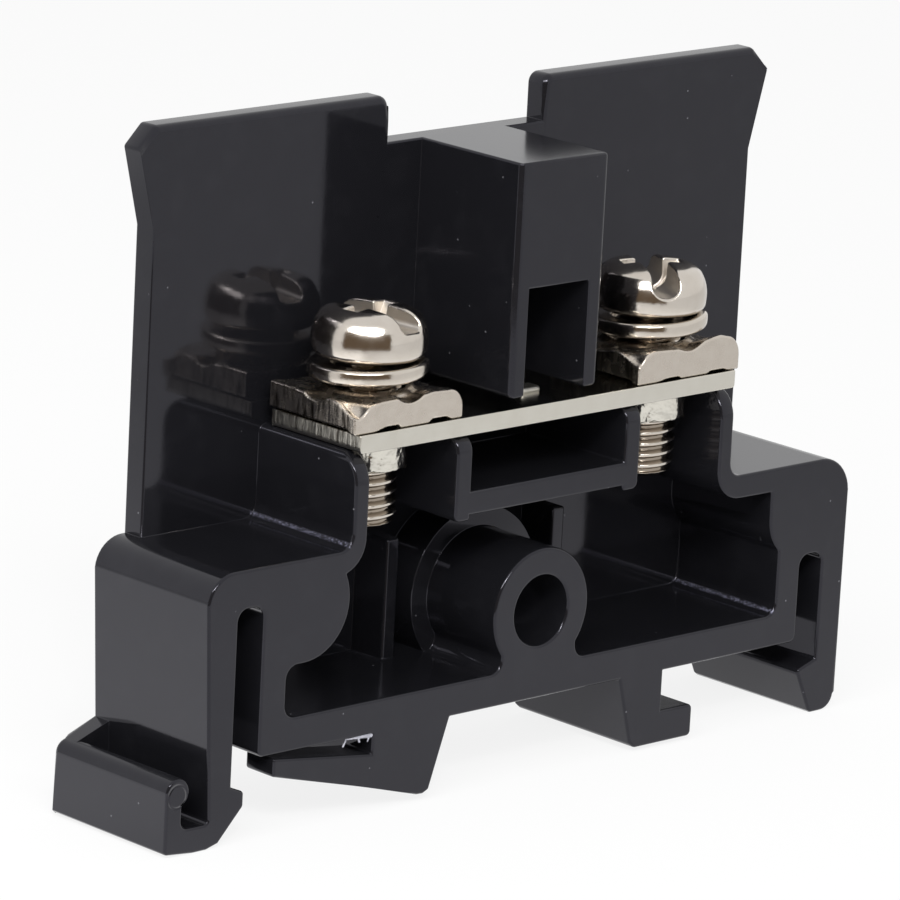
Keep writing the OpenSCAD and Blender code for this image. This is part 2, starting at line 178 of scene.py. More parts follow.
# Fills again the flat many-sided faces whose own triangles overlap, as happens in rings
def refill(mesh):
    mesh.calc_loop_triangles()
    covered = np.zeros(len(mesh.polygons))
    for triangle in mesh.loop_triangles:
        covered[triangle.polygon_index] += triangle.area
    folded = [f.index for f, area in zip(mesh.polygons, covered) if len(f.vertices) > 6 and area > 1.001 * f.area]
    work = bmesh.new()
    work.from_mesh(mesh)
    work.faces.ensure_lookup_table()
    for face in [work.faces[i] for i in folded]:
        verts = list(face.verts)
        normal = Vector([round(c, 4) for c in face.normal]).normalized()
        across = normal.orthogonal().normalized()
        up = normal.cross(across)
        flat = [Vector((v.co.dot(across), v.co.dot(up))) / mm for v in verts]
        places, _, triangles, origins, _, _ = delaunay_2d_cdt(flat, [], [list(range(len(flat)))], 1, 1e-4)
        height = verts[0].co.dot(normal)
        made = [verts[o[0]] if o else work.verts.new((across * p.x + up * p.y) * mm + normal * height)
                for p, o in zip(places, origins)]
        work.faces.remove(face)
        for t in triangles:
            corners = [made[i] for i in t]
            if len(set(corners)) == 3 and not work.faces.get(corners):
                patch = work.faces.new(corners)
                patch.normal_update()
                if patch.normal.dot(normal) < 0:
                    patch.normal_flip()
    work.to_mesh(mesh)
    work.free()
    return len(folded)


# A copy of a solid's mesh with rounded edges. The rule gives each sharp edge its radius from the
# edge's middle and whether it stands out.
def softened(name, node, shape, rule):
    work = bmesh.new()
    work.from_mesh(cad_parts[node].data)
    bmesh.ops.remove_doubles(work, verts=work.verts, dist=0.002 * mm)
    bmesh.ops.dissolve_limit(work, angle_limit=math.radians(0.5), verts=work.verts, edges=work.edges)
    sharp = math.radians(shape["sharpAngle"])
    weight = work.edges.layers.float.new("bevel_weight_edge")
    for edge in work.edges:
        if edge.is_manifold and edge.calc_face_angle(0) > sharp:
            a, b = (np.array(v.co) / mm for v in edge.verts)
            edge[weight] = rule((a + b) / 2, edge.is_convex) / shape["widestRadius"]
    mesh = bpy.data.meshes.new(name + "Sharp")
    work.to_mesh(mesh)
    work.free()
    holder = bpy.data.objects.new(name + "Sharp", mesh)
    bpy.context.scene.collection.objects.link(holder)
    rounding = holder.modifiers.new("edgeRounding", "BEVEL")
    rounding.limit_method = "WEIGHT"
    rounding.width = shape["widestRadius"] * mm
    rounding.segments = shape["edgeSteps"]
    rounding.use_clamp_overlap = rounding.loop_slide = False
    rounded = bpy.data.meshes.new_from_object(holder.evaluated_get(bpy.context.evaluated_depsgraph_get()))
    bpy.data.objects.remove(holder)
    rounded.name = name
    refilled = refill(rounded)
    print(name, "refilled faces:", refilled)
    rounded.polygons.foreach_set("use_smooth", [True] * len(rounded.polygons))
    rounded.set_sharp_from_angle(angle=sharp)
    return rounded


def placeSoftened(mesh, node, body, finish):
    mesh.materials.clear()
    mesh.materials.append(finish)
    piece = placePiece(mesh.name, mesh, node, body)
    even = piece.modifiers.new("evenShading", "WEIGHTED_NORMAL")
    even.keep_sharp = True
    return piece


# Moulded polyamide: black with a blue cast, from a polished steel tool, so it mirrors its
# surroundings. The skin has a slight flow waviness, faint scuffs and specks of dust, and the
# inside corners keep a rough grainy line where the tool was eroded, whose specks are lightened as a
# painted glint. The grain is drawn coarser than it is, so that it shows.
polyamide = {"colour": "#161619", "scuffColour": "#1c1c1f", "cornerGlintColour": "#7e7e92", "dustColour": "#66666a",
             "sheenTint": "#f2f0ff", "specular": 0.35, "roughness": 0.07, "scuffRoughness": 0.14,
             "cornerRoughness": 0.45, "topRoughness": 0.16, "waveSize": 3.0, "waveHeight": 0.003,
             "grainSize": 0.12, "grainHeight": 0.0005, "scuffSize": 1.6, "dustSpacing": 0.9, "dustShare": 0.3,
             "cornerGrain": 0.1, "cornerWidth": 0.15, "cornerLines": ((-11.63, 4.65), (14.72, -2.32)),  # x and z
             "ejectorPlace": (-20.8, 0, -4.93), "ejectorRadius": 0.5, "ejectorWidth": 0.09, "ejectorDepth": 0.04}


def mouldedPolyamide():
    material, tree, surface = newMaterial("mouldedPolyamide")
    place = addNode(tree, "TexCoord", {}).outputs["Object"]
    wave = addNode(tree, "TexNoise", {"Scale": 1 / (polyamide["waveSize"] * mm), "Detail": 1.5}, {"Vector": place})
    grain = addNode(tree, "TexNoise", {"Scale": 1 / (polyamide["grainSize"] * mm), "Detail": 2}, {"Vector": place})
    scuff = addNode(tree, "TexNoise", {"Scale": 1 / (polyamide["scuffSize"] * mm), "Detail": 6, "Roughness": 0.65},
                    {"Vector": place})
    worn = addNode(tree, "MapRange", {"From Min": 0.5, "From Max": 0.8}, {"Value": scuff.outputs["Fac"]})
    colour = addNode(tree, "Mix", {"data_type": "RGBA", 6: linear(polyamide["colour"]),
                                   7: linear(polyamide["scuffColour"])}, {"Factor": worn.outputs["Result"]})
    # dust: small round specks in some of the cells
    cells = addNode(tree, "TexVoronoi", {"Scale": 1 / (polyamide["dustSpacing"] * mm)}, {"Vector": place})
    speck = addNode(tree, "MapRange", {"From Min": 0.03, "From Max": 0.06, "To Min": 1, "To Max": 0},
                    {"Value": cells.outputs["Distance"]})
    lot = addNode(tree, "SeparateColor", {}, {"Color": cells.outputs["Color"]})
    chosen = addNode(tree, "Math", {"operation": "LESS_THAN", 1: polyamide["dustShare"]}, {0: lot.outputs[0]})
    dust = addNode(tree, "Math", {"operation": "MULTIPLY"}, {0: speck.outputs["Result"], 1: chosen.outputs[0]})
    dusty = addNode(tree, "Mix", {"data_type": "RGBA", 7: linear(polyamide["dustColour"])},
                    {"Factor": dust.outputs[0], 6: colour.outputs[2]})
    # grain along the middles of the fillets in two inside corners, which run from front to back: rougher there, with
    # its specks lightened as a painted glint
    flat = addNode(tree, "VectorMath", {"operation": "MULTIPLY", 1: (1, 0, 1)}, {0: place}).outputs["Vector"]
    bands = []
    for x, z in polyamide["cornerLines"]:
        away = addNode(tree, "VectorMath", {"operation": "DISTANCE", 1: (x * mm, 0, z * mm)}, {0: flat})
        band = addNode(tree, "MapRange", {"interpolation_type": "SMOOTHSTEP", "To Min": 1, "To Max": 0,
                                          "From Max": polyamide["cornerWidth"] * mm},
                       {"Value": away.outputs["Value"]})
        bands.append(band.outputs["Result"])
    corner = addNode(tree, "Math", {"operation": "MAXIMUM"}, {0: bands[0], 1: bands[1]}).outputs[0]
    pits = addNode(tree, "TexNoise", {"Scale": 1 / (polyamide["cornerGrain"] * mm), "Detail": 3}, {"Vector": place})
    bright = addNode(tree, "MapRange", {"From Min": 0.47, "From Max": 0.66}, {"Value": pits.outputs["Fac"]})
    cornerGlint = addNode(tree, "Math", {"operation": "MULTIPLY"}, {0: bright.outputs["Result"], 1: corner})
    # painted glint: the specks in the corners' fillets are coloured light grey
    base = addNode(tree, "Mix", {"data_type": "RGBA", 7: linear(polyamide["cornerGlintColour"])},
                   {"Factor": cornerGlint.outputs[0], 6: dusty.outputs[2]})
    rough = addNode(tree, "MapRange", {"To Min": polyamide["roughness"], "To Max": polyamide["scuffRoughness"]},
                    {"Value": worn.outputs["Result"]})
    # the tops come off a matt part of the tool
    facing = addNode(tree, "SeparateXYZ", {}, {0: addNode(tree, "NewGeometry", {}).outputs["Normal"]})
    upward = addNode(tree, "MapRange", {"From Min": 0.85, "From Max": 0.98}, {"Value": facing.outputs["Z"]})
    satin = addNode(tree, "Mix", {"data_type": "FLOAT", 3: polyamide["topRoughness"]},
                    {"Factor": upward.outputs["Result"], 2: rough.outputs["Result"]})
    dull = addNode(tree, "Mix", {"data_type": "FLOAT", 3: polyamide["cornerRoughness"]},
                   {"Factor": corner, 2: satin.outputs[0]})
    broad = addNode(tree, "Bump", {"Strength": 1, "Distance": polyamide["waveHeight"] * mm},
                    {"Height": wave.outputs["Fac"]})
    fine = addNode(tree, "Bump", {"Strength": 1, "Distance": polyamide["grainHeight"] * mm},
                   {"Height": grain.outputs["Fac"], "Normal": broad.outputs["Normal"]})
    # ejector pin's mark: a round groove on the bead's front end
    pin = [c * mm for c in polyamide["ejectorPlace"]]
    reach = addNode(tree, "VectorMath", {"operation": "DISTANCE", 1: pin}, {0: place})
    offset = addNode(tree, "Math", {"operation": "SUBTRACT", 1: polyamide["ejectorRadius"] * mm},
                     {0: reach.outputs["Value"]})
    near = addNode(tree, "Math", {"operation": "ABSOLUTE"}, {0: offset.outputs[0]})
    groove = addNode(tree, "MapRange", {"interpolation_type": "SMOOTHSTEP", "To Min": 0, "To Max": 1,
                                        "From Max": polyamide["ejectorWidth"] * mm}, {"Value": near.outputs[0]})
    pinned = addNode(tree, "Bump", {"Strength": 1, "Distance": polyamide["ejectorDepth"] * mm},
                     {"Height": groove.outputs["Result"], "Normal": fine.outputs["Normal"]})
    surface.inputs["IOR"].default_value = 1.5
    surface.inputs["Specular IOR Level"].default_value = polyamide["specular"]
    surface.inputs["Specular Tint"].default_value = linear(polyamide["sheenTint"])
    tree.links.new(base.outputs[2], surface.inputs["Base Color"])
    tree.links.new(dull.outputs[0], surface.inputs["Roughness"])
    tree.links.new(pinned.outputs["Normal"], surface.inputs["Normal"])
    return material


# Nickel plate over steel or copper alloy: a warm white metal. Its finish runs from bright on the
# turned and rolled screws to satin on the stamped bar. Sheared ends keep the tool's streaks, and
# the drawn collars are lumpy. The plate's own grain is drawn coarser than it is, so that it shows.
def nickelPlate(name, look):
    material, tree, surface = newMaterial(name)
    place = addNode(tree, "TexCoord", {}).outputs["Object"]
    mottle = addNode(tree, "TexNoise", {"Scale": 1 / (look["mottleSize"] * mm), "Detail": 4}, {"Vector": place})
    grain = addNode(tree, "TexNoise", {"Scale": 1 / (look["grainSize"] * mm), "Detail": 3}, {"Vector": place})
    base = addNode(tree, "Mix", {"data_type": "RGBA", 6: linear(look["colour"]), 7: linear(look["dullColour"])},
                   {"Factor": mottle.outputs["Fac"]}).outputs[2]
    rough = addNode(tree, "MapRange", {"From Min": 0.3, "From Max": 0.7, "To Min": look["roughness"],
                                       "To Max": look["dullRoughness"]},
                    {"Value": mottle.outputs["Fac"]}).outputs["Result"]
    broad = addNode(tree, "Bump", {"Strength": 1, "Distance": look["mottleHeight"] * mm},
                    {"Height": mottle.outputs["Fac"]})
    normal = addNode(tree, "Bump", {"Strength": 1, "Distance": look["grainHeight"] * mm},
                     {"Height": grain.outputs["Fac"], "Normal": broad.outputs["Normal"]}).outputs["Normal"]
    if "streakSize" in look:
        sheared = addNode(tree, "Attribute", {"attribute_name": "sheared"}).outputs["Fac"]
        stretch = addNode(tree, "Mapping", {"Scale": (0, 1, look["streakRise"])}, {"Vector": place})
        streak = addNode(tree, "TexNoise", {"Scale": 1 / (look["streakSize"] * mm), "Detail": 3, "Roughness": 0.6},
                         {"Vector": stretch.outputs["Vector"]})
        depth = addNode(tree, "Math", {"operation": "MULTIPLY"}, {0: streak.outputs["Fac"], 1: sheared})
        normal = addNode(tree, "Bump", {"Strength": 1, "Distance": look["streakHeight"] * mm},
                         {"Height": depth.outputs[0], "Normal": normal}).outputs["Normal"]
        # the grooves between the streaks on the sheared faces are coloured darker
        groove = addNode(tree, "MapRange", {"From Min": 0.52, "From Max": 0.36}, {"Value": streak.outputs["Fac"]})
        darkerGrooves = addNode(tree, "Math", {"operation": "MULTIPLY"}, {0: groove.outputs["Result"], 1: sheared})
        base = addNode(tree, "Mix", {"data_type": "RGBA", 7: linear(look["streakColour"])},
                       {"Factor": darkerGrooves.outputs[0], 6: base}).outputs[2]
    if "lumpSize" in look:
        drawn = addNode(tree, "Attribute", {"attribute_name": "drawn"}).outputs["Fac"]
        lump = addNode(tree, "TexNoise", {"Scale": 1 / (look["lumpSize"] * mm), "Detail": 2}, {"Vector": place})
        height = addNode(tree, "Math", {"operation": "MULTIPLY"}, {0: lump.outputs["Fac"], 1: drawn})
        normal = addNode(tree, "Bump", {"Strength": 1, "Distance": look["lumpHeight"] * mm},
                         {"Height": height.outputs[0], "Normal": normal}).outputs["Normal"]
        rough = addNode(tree, "Mix", {"data_type": "FLOAT", 3: look["lumpRoughness"]},
                        {"Factor": drawn, 2: rough}).outputs[0]
    if "smoothRoughness" in look:
        reworked = addNode(tree, "Attribute", {"attribute_name": "reworked"}).outputs["Fac"]
        rough = addNode(tree, "Mix", {"data_type": "FLOAT", 3: look["smoothRoughness"]},
                        {"Factor": reworked, 2: rough}).outputs[0]
    # painted shade: the thread's roots are coloured darker
    if "rootShadeColour" in look:
        root = addNode(tree, "Attribute", {"attribute_name": "threadRootShade"})
        base = addNode(tree, "Mix", {"data_type": "RGBA", 7: linear(look["rootShadeColour"])},
                       {"Factor": root.outputs["Fac"], 6: base}).outputs[2]
    surface.inputs["Metallic"].default_value = 1
    tree.links.new(base, surface.inputs["Base Color"])
    tree.links.new(rough, surface.inputs["Roughness"])
    tree.links.new(normal, surface.inputs["Normal"])
    return material


# Housing: the CAD solid with moulded edge roundings. Each place has its own radius, for the edges whose
# middles lie in its ranges of x, y and z, and the first place that fits counts. True stands for
# outside edges, False for inside corners and None for both.
far = 99
allAlong = (-far, far)
moulding = {"edgeRadius": 0.13, "widestRadius": 0.5, "edgeSteps": 4, "sharpAngle": 40,
            "places": (("end wall of the lever's channel", None, (-far, -18.9), (6.48, 6.52), allAlong, 0.02),
                       ("step under the left foot", None, (-9.78, -9.72), allAlong, (-far, -6.4), 0),
                       ("step under the right leg", None, (19.13, 19.17), allAlong, (-6.82, -6.78), 0),
                       ("boss's root", None, (-4.5, 4.5), (4.2, far), (-far, 4.5), 0.06),
                       ("corners in front of the barrier", False, allAlong, (-far, 6.2), allAlong, 0.12),
                       ("right recess's floor", False, (2, far), allAlong, (-far, -1), 0.12),
                       ("corners at the barrier", False, allAlong, allAlong, allAlong, 0.03),
                       ("right of the post's top", True, (2.6, 2.7), allAlong, (20.25, 20.35), 0.3),
                       ("lever's back", True, (-far, -20.8), (7.4, far), (-6.8, -4), 0.32),
                       ("barrier's rim", True, allAlong, (6.3, 6.4), (21.35, far), 0.32),
                       ("left ear", True, (-far, -15), (6.3, 6.4), (16.5, far), 0.02),
                       ("right ear", True, (15, far), (6.3, 6.4), (16.5, far), 0.02),
                       ("barrier's ends", True, allAlong, (6.3, 6.4), (5, far), 0.1),
                       ("left of the post", True, (-2.75, -2.55), allAlong, (9.5, 20.2), 0.3),
                       ("right of the post", True, (2.55, 2.75), allAlong, (9.5, 20.2), 0.3),
                       ("left of the window", True, (-1.85, -1.75), (-far, 2), (9.5, 14.4), 0.08),
                       ("right of the window", True, (1.75, 1.85), (-far, 2), (9.5, 14.4), 0.08))}


def mouldedRadius(middle, convex):
    for name, outside, *ranges, radius in moulding["places"]:
        if outside in (None, convex) and all(low < c < high for c, (low, high) in zip(middle, ranges)):
            return radius
    return moulding["edgeRadius"]


blackPlastic = mouldedPolyamide()
housing = placeSoftened(softened("housingMoulding", "housing", moulding, mouldedRadius),
                        "housing", "block", blackPlastic)


# Gate scar: the torn edge where the runner was broken off, with short hairs; its near-white colour is a painted
# highlight of their glint.
# Each hair is a thin cone from one place to another with a radius at each end.
scar = {"hairs": (((-11.25, 0.12, -4.05), (-9.8, 0.13, -4.09), 0.03, 0.11),
                  ((-11.25, 0.1, -4.1), (-11.4, 0.1, -4.34), 0.03, 0.04),
                  ((-10.52, 0.1, -4.08), (-10.46, 0.1, -4.27), 0.05, 0.05),
                  ((-9.9, 0.1, -4.15), (-9.97, 0.1, -4.33), 0.05, 0.03)),
        "low": (-11.5, -0.02, -4.42), "high": (-9.6, 0.3, -3.9), "step": 0.025,
        "colour": "#c9c9d4", "darkColour": "#77777f", "roughness": 0.5, "tearSize": 0.18, "tearHeight": 0.04}


def tornPolyamideGlint():
    material, tree, surface = newMaterial("tornPolyamideGlint")
    place = addNode(tree, "TexCoord", {}).outputs["Object"]
    tear = addNode(tree, "TexNoise", {"Scale": 1 / (scar["tearSize"] * mm), "Detail": 4}, {"Vector": place})
    # painted highlight: the torn edge and its hairs are coloured near white for their glint
    colour = addNode(tree, "Mix", {"data_type": "RGBA", 6: linear(scar["darkColour"]), 7: linear(scar["colour"])},
                     {"Factor": tear.outputs["Fac"]})
    ragged = addNode(tree, "Bump", {"Strength": 1, "Distance": scar["tearHeight"] * mm},
                     {"Height": tear.outputs["Fac"]})
    surface.inputs["Roughness"].default_value = scar["roughness"]
    tree.links.new(colour.outputs[2], surface.inputs["Base Color"])
    tree.links.new(ragged.outputs["Normal"], surface.inputs["Normal"])
    return material


def gateScar(p):
    nearest = np.full(len(p), np.inf)
    for start, end, first, last in scar["hairs"]:
        start, along = np.array(start), np.array(end) - np.array(start)
        share = np.clip((p - start) @ along / (along @ along), 0, 1)
        away = np.linalg.norm(p - start - share[:, None] * along, axis=1)
        nearest = np.minimum(nearest, away - first - (last - first) * share)
    return nearest


meshPiece("gateScar", [skin(gateScar, scar["low"], scar["high"], scar["step"])], "housing", "block",
          tornPolyamideGlint())
print("housing:", len(housing.data.polygons), "faces")

# Conductor bar: stamped, its long edges tumbled round, its ends rolled over below
bar = {"edgeRadius": 0.07, "endRadius": 0.36, "collarRadius": 0.16, "insideRadius": 0.1, "widestRadius": 0.4,
       "edgeSteps": 4, "sharpAngle": 40, "halfLength": 11.325, "underside": 8.6, "top": 9.42,
       "screwAxis": (8.445, 2.85), "boreReach": 1.6, "boreRadius": 0.05,
       "nubPlace": (0.4, 2.2), "nubSize": (1.15, 0.8, 0.36), "nubRound": 0.16, "nubSink": 0.1, "nubStep": 0.05,
       "colour": "#d2cfc6", "dullColour": "#c6c2b8", "roughness": 0.3, "dullRoughness": 0.42, "mottleSize": 0.9,
       "mottleHeight": 0.01, "grainSize": 0.07, "grainHeight": 0.005, "streakSize": 0.2, "streakRise": 0.14,
       "streakHeight": 0.05, "streakColour": "#77726a", "lumpSize": 0.6, "lumpHeight": 0.13, "lumpRoughness": 0.18,
       "smoothRoughness": 0.13}


def barRadius(middle, convex):
    x, y, z = middle
    if abs(z - bar["underside"]) < 0.02 and abs(abs(x) - bar["halfLength"]) < 0.02:
        return bar["endRadius"]
    if z < bar["underside"] - 0.1:
        away = max(abs(abs(x) - bar["screwAxis"][0]), abs(y - bar["screwAxis"][1]))
        return bar["collarRadius"] if away > bar["boreReach"] else bar["boreRadius"]
    return bar["edgeRadius"] if convex else bar["insideRadius"]


barNickel = nickelPlate("satinNickelBar", bar)
barMesh = softened("conductorBar", "conductor_bar", bar, barRadius)
centres = np.array([f.center for f in barMesh.polygons]) / mm
addMark(barMesh, "sheared", "FACE", np.abs(centres[:, 0]) > bar["halfLength"] - 0.05)
addMark(barMesh, "drawn", "FACE", centres[:, 2] < bar["underside"] - 0.05)
addMark(barMesh, "reworked", "FACE", np.abs([f.normal.z for f in barMesh.polygons]) > 0.9)
conductorBar = placeSoftened(barMesh, "conductor_bar", "block", barNickel)


# Nub: a small lug pressed up from the bar under the post
def barNub():
    half = np.array(bar["nubSize"]) / 2

    def shape(p):
        out = np.abs(p) - half + bar["nubRound"]
        return np.linalg.norm(np.maximum(out, 0), axis=1) + np.minimum(out.max(1), 0) - bar["nubRound"]

    points, faces, normals = skin(shape, -half, half, bar["nubStep"])
    return points + np.array([*bar["nubPlace"], bar["top"] + half[2] - bar["nubSink"]]), faces, normals


nub = meshPiece("barNub", [barNub()], "conductor_bar", "block", barNickel)
print("conductor bar:", len(conductorBar.data.polygons) + len(nub.data.polygons), "faces")

# Screws: cold headed, slotted and cross recessed, with a rolled M3 thread
screw = {"headRadius": 2.55, "headHeight": 2.22, "waistHeight": 0.76, "barrelRadius": 1.85, "lowBarrelRadius": 3.0,
         "domeRadius": 14, "shoulderRadius": 0.3, "lowRadius": 0.36, "slotWidth": 1.24, "slotEdge": 0.12,
         "crossWidth": 0.8, "crossLength": 2.9, "crossDepth": 1.35, "crossTaper": 0.16, "crossLean": 0.75,
         "crossEdge": 0.06, "cutDepth": 0.1, "threadRadius": 1.5, "threadDepth": 0.26, "pitch": 0.5,
         "crestShare": 0.12, "flankShare": 0.72, "shankLength": 7.43, "tipChamfer": 0.3, "tipSlope": 0.9,
         "threadSteps": (96, 300), "step": 0.05,
         "slotTurn": {"left": -82, "right": -117}, "slotDepth": {"left": 0.85, "right": 1.25},
         "slotFloorRadius": {"left": 0.3, "right": 0.58},
         "colour": "#d0c9c0", "dullColour": "#c4bcb2", "roughness": 0.1, "dullRoughness": 0.2,
         "mottleSize": 0.7, "mottleHeight": 0.013, "grainSize": 0.05, "grainHeight": 0.0012,
         "rootShadeColour": "#948a7e", "smoothRoughness": 0.42}


# The head, and which of its points lie inside the slot and the cross
def screwHead(side):
    turn = math.radians(screw["slotTurn"][side])
    height, half = screw["headHeight"], screw["slotWidth"] / 2
    slotFloor, floorRadius = height - screw["slotDepth"][side], screw["slotFloorRadius"][side]

    def blank(p):
        r = np.hypot(p[:, 0], p[:, 1])
        z = p[:, 2]
        rise = z - screw["waistHeight"]
        barrel = np.where(rise > 0, screw["barrelRadius"], screw["lowBarrelRadius"])
        wall = np.hypot(np.maximum(r - screw["headRadius"] + barrel, 0), rise) - barrel
        top = z - height + r ** 2 / (2 * screw["domeRadius"])
        top = top / np.sqrt(1 + (r / screw["domeRadius"]) ** 2)
        return roundCut(roundCut(wall, top, screw["shoulderRadius"]), -z, screw["lowRadius"])

    def shape(p):
        z = p[:, 2]
        along = p[:, 0] * math.cos(turn) + p[:, 1] * math.sin(turn)
        across = p[:, 1] * math.cos(turn) - p[:, 0] * math.sin(turn)
        deep = np.clip(height - z, 0, None)
        slot = roundCut(np.abs(across) - half, slotFloor - z, floorRadius)
        solid = roundCut(blank(p), -slot, screw["slotEdge"])
        for a, b in ((along, across), (across, along)):
            flank = np.abs(b) - screw["crossWidth"] / 2 + screw["crossTaper"] * deep
            tip = np.abs(a) - screw["crossLength"] / 2 + screw["crossLean"] * deep
            wing = np.maximum(flank, 0.8 * tip)  # 0.8 makes the leaning tip a true distance
            wing = np.maximum(wing, height - screw["crossDepth"] - z)
            solid = roundCut(solid, -wing, screw["crossEdge"])
        return solid

    reach = screw["headRadius"]
    points, faces, normals = skin(shape, (-reach, -reach, 0), (reach, reach, height), screw["step"])
    return (points, faces, normals), blank(points) < -screw["cutDepth"]


# Shank: rings of points whose radius follows the thread, and a flat tip
def screwShank():
    turns, rows = screw["threadSteps"]
    low, high = -screw["shankLength"], 0.1  # the top reaches into the head
    angle, z = np.meshgrid(np.arange(turns) * 2 * math.pi / turns, np.linspace(low, high, rows))

    def radius(angle, z):
        phase = np.abs((z / screw["pitch"] - angle / (2 * math.pi)) % 1 - 0.5) * 2  # 0 on the crest, 1 in the root
        depth = screw["threadDepth"] * smoothStep((phase - screw["crestShare"]) / screw["flankShare"])
        return np.minimum(screw["threadRadius"] - depth,
                          screw["threadRadius"] - screw["tipChamfer"] + (z - low) * screw["tipSlope"])

    r = radius(angle, z)
    reach = 0.002
    lean = (radius(angle, z + reach) - radius(angle, z - reach)) / (2 * reach)
    twist = (radius(angle + reach, z) - radius(angle - reach, z)) / (2 * reach * r)
    normals = np.stack([np.cos(angle) + twist * np.sin(angle), np.sin(angle) - twist * np.cos(angle), -lean], -1)
    points = np.stack([r * np.cos(angle), r * np.sin(angle), z], -1).reshape(-1, 3)
    normals = normals.reshape(-1, 3) / np.linalg.norm(normals.reshape(-1, 3), axis=1)[:, None]
    faces = [[i * turns + j, i * turns + (j + 1) % turns, (i + 1) * turns + (j + 1) % turns, (i + 1) * turns + j]
             for i in range(rows - 1) for j in range(turns)]
    tip = np.concatenate([points[:turns], [[0, 0, low]]])
    tipFaces = [[turns, (j + 1) % turns, j] for j in range(turns)]
    # how far down each point lies into the thread, for the painted shade in its roots
    root = (screw["threadRadius"] - r.ravel()) / screw["threadDepth"]
    return (points, faces, normals), (tip, tipFaces, np.tile([0, 0, -1.0], (turns + 1, 1))), np.clip(root, 0, 1)


screwNickel = nickelPlate("brightNickelScrew", screw)
for side in ("left", "right"):
    low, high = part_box(side + "_screw")
    seat = np.array([nodeCentre(side + "_screw")[0], nodeCentre(side + "_screw")[1],
                     high.z / mm - screw["headHeight"]])
    (head, cut), (thread, tip, root) = screwHead(side), screwShank()
    parts = [(p + seat, f, n) for p, f, n in (head, thread, tip)]
    marks = {"threadRootShade": np.concatenate([np.zeros(len(head[0])), root, np.zeros(len(tip[0]))]),
             "reworked": np.concatenate([cut, np.zeros(len(root) + len(tip[0]))])}
    piece = meshPiece(side + "Screw", parts, side + "_screw", side + "_driver", screwNickel, marks)
    print(side, "screw:", len(piece.data.polygons), "faces")

# Spring washers: wire rolled flat, its outer side left barrelled, coiled and cut
spring = {"innerRadius": 1.65, "outerRadius": 2.65, "thickness": 0.7, "rise": 0.38, "climb": 3, "highEnd": -48,
          "split": 22, "cornerRadius": 0.16, "crown": 0.05, "steps": 120,
          "colour": "#cfc8be", "dullColour": "#c2b9ae", "roughness": 0.12, "dullRoughness": 0.22,
          "mottleSize": 0.6, "mottleHeight": 0.01, "grainSize": 0.05, "grainHeight": 0.0015}


# Section of the wire, anticlockwise from its lower outer corner, and its normals
def wireSection():
    corner, arc, thick = spring["cornerRadius"], 5, spring["thickness"]
    half = (spring["outerRadius"] - spring["innerRadius"]) / 2
    places = []
    for k, (right, upper) in enumerate(((1, 0), (1, 1), (0, 1), (0, 0))):
        x = (half - corner) * (1 if right else -1)
        z = thick - corner if upper else corner
        for a in np.radians(np.linspace(-90, 0, arc) + 90 * k):
            places.append((x + corner * math.cos(a), z + corner * math.sin(a), math.cos(a), math.sin(a)))
        if k == 0:
            places += [(half, z, 1, 0) for z in np.linspace(corner, thick - corner, 9)[1:-1]]
    x, z, nx, nz = np.array(places).T
    level = 2 * z / thick - 1
    outer = np.clip(x / half, 0, 1)
    x = x - spring["crown"] * level ** 2 * outer
    nz = nz + nx * outer * 4 * spring["crown"] * level / thick
    length = np.hypot(nx, nz)
    return spring["innerRadius"] + half + x, z, nx / length, nz / length


def springWasher():
    r, z, nr, nz = wireSection()
    count, steps = len(r), spring["steps"]
    share = np.linspace(0, 1, steps + 1)[:, None]
    angle = math.radians(spring["highEnd"]) - math.radians(360 - spring["split"]) * (1 - share)
    level = spring["rise"] * share ** spring["climb"]
    points = np.stack(np.broadcast_arrays(r * np.cos(angle), r * np.sin(angle), z + level), -1)
    normals = np.stack(np.broadcast_arrays(nr * np.cos(angle), nr * np.sin(angle), nz + 0 * angle), -1)
    faces = [[(i + 1) * count + k, (i + 1) * count + (k + 1) % count, i * count + (k + 1) % count, i * count + k]
             for i in range(steps) for k in range(count)]
    parts = [(points.reshape(-1, 3), faces, normals.reshape(-1, 3))]
    for i, sign in ((0, -1), (steps, 1)):
        a = float(angle[i, 0])
        face = list(range(count))[::-sign]
        parts.append((points[i], [face], np.tile([-math.sin(a) * sign, math.cos(a) * sign, 0], (count, 1))))
    return parts


springNickel = nickelPlate("brightNickelSpring", spring)
for side in ("left", "right"):
    low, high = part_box(side + "_spring_washer")
    axis = nodeCentre(side + "_screw")
    seat = np.array([axis[0], axis[1], low.z / mm])
    piece = meshPiece(side + "SpringWasher", [(p + seat, f, n) for p, f, n in springWasher()],
                      side + "_spring_washer", side + "_clamp", springNickel)
    print(side, "spring washer:", len(piece.data.polygons), "faces")

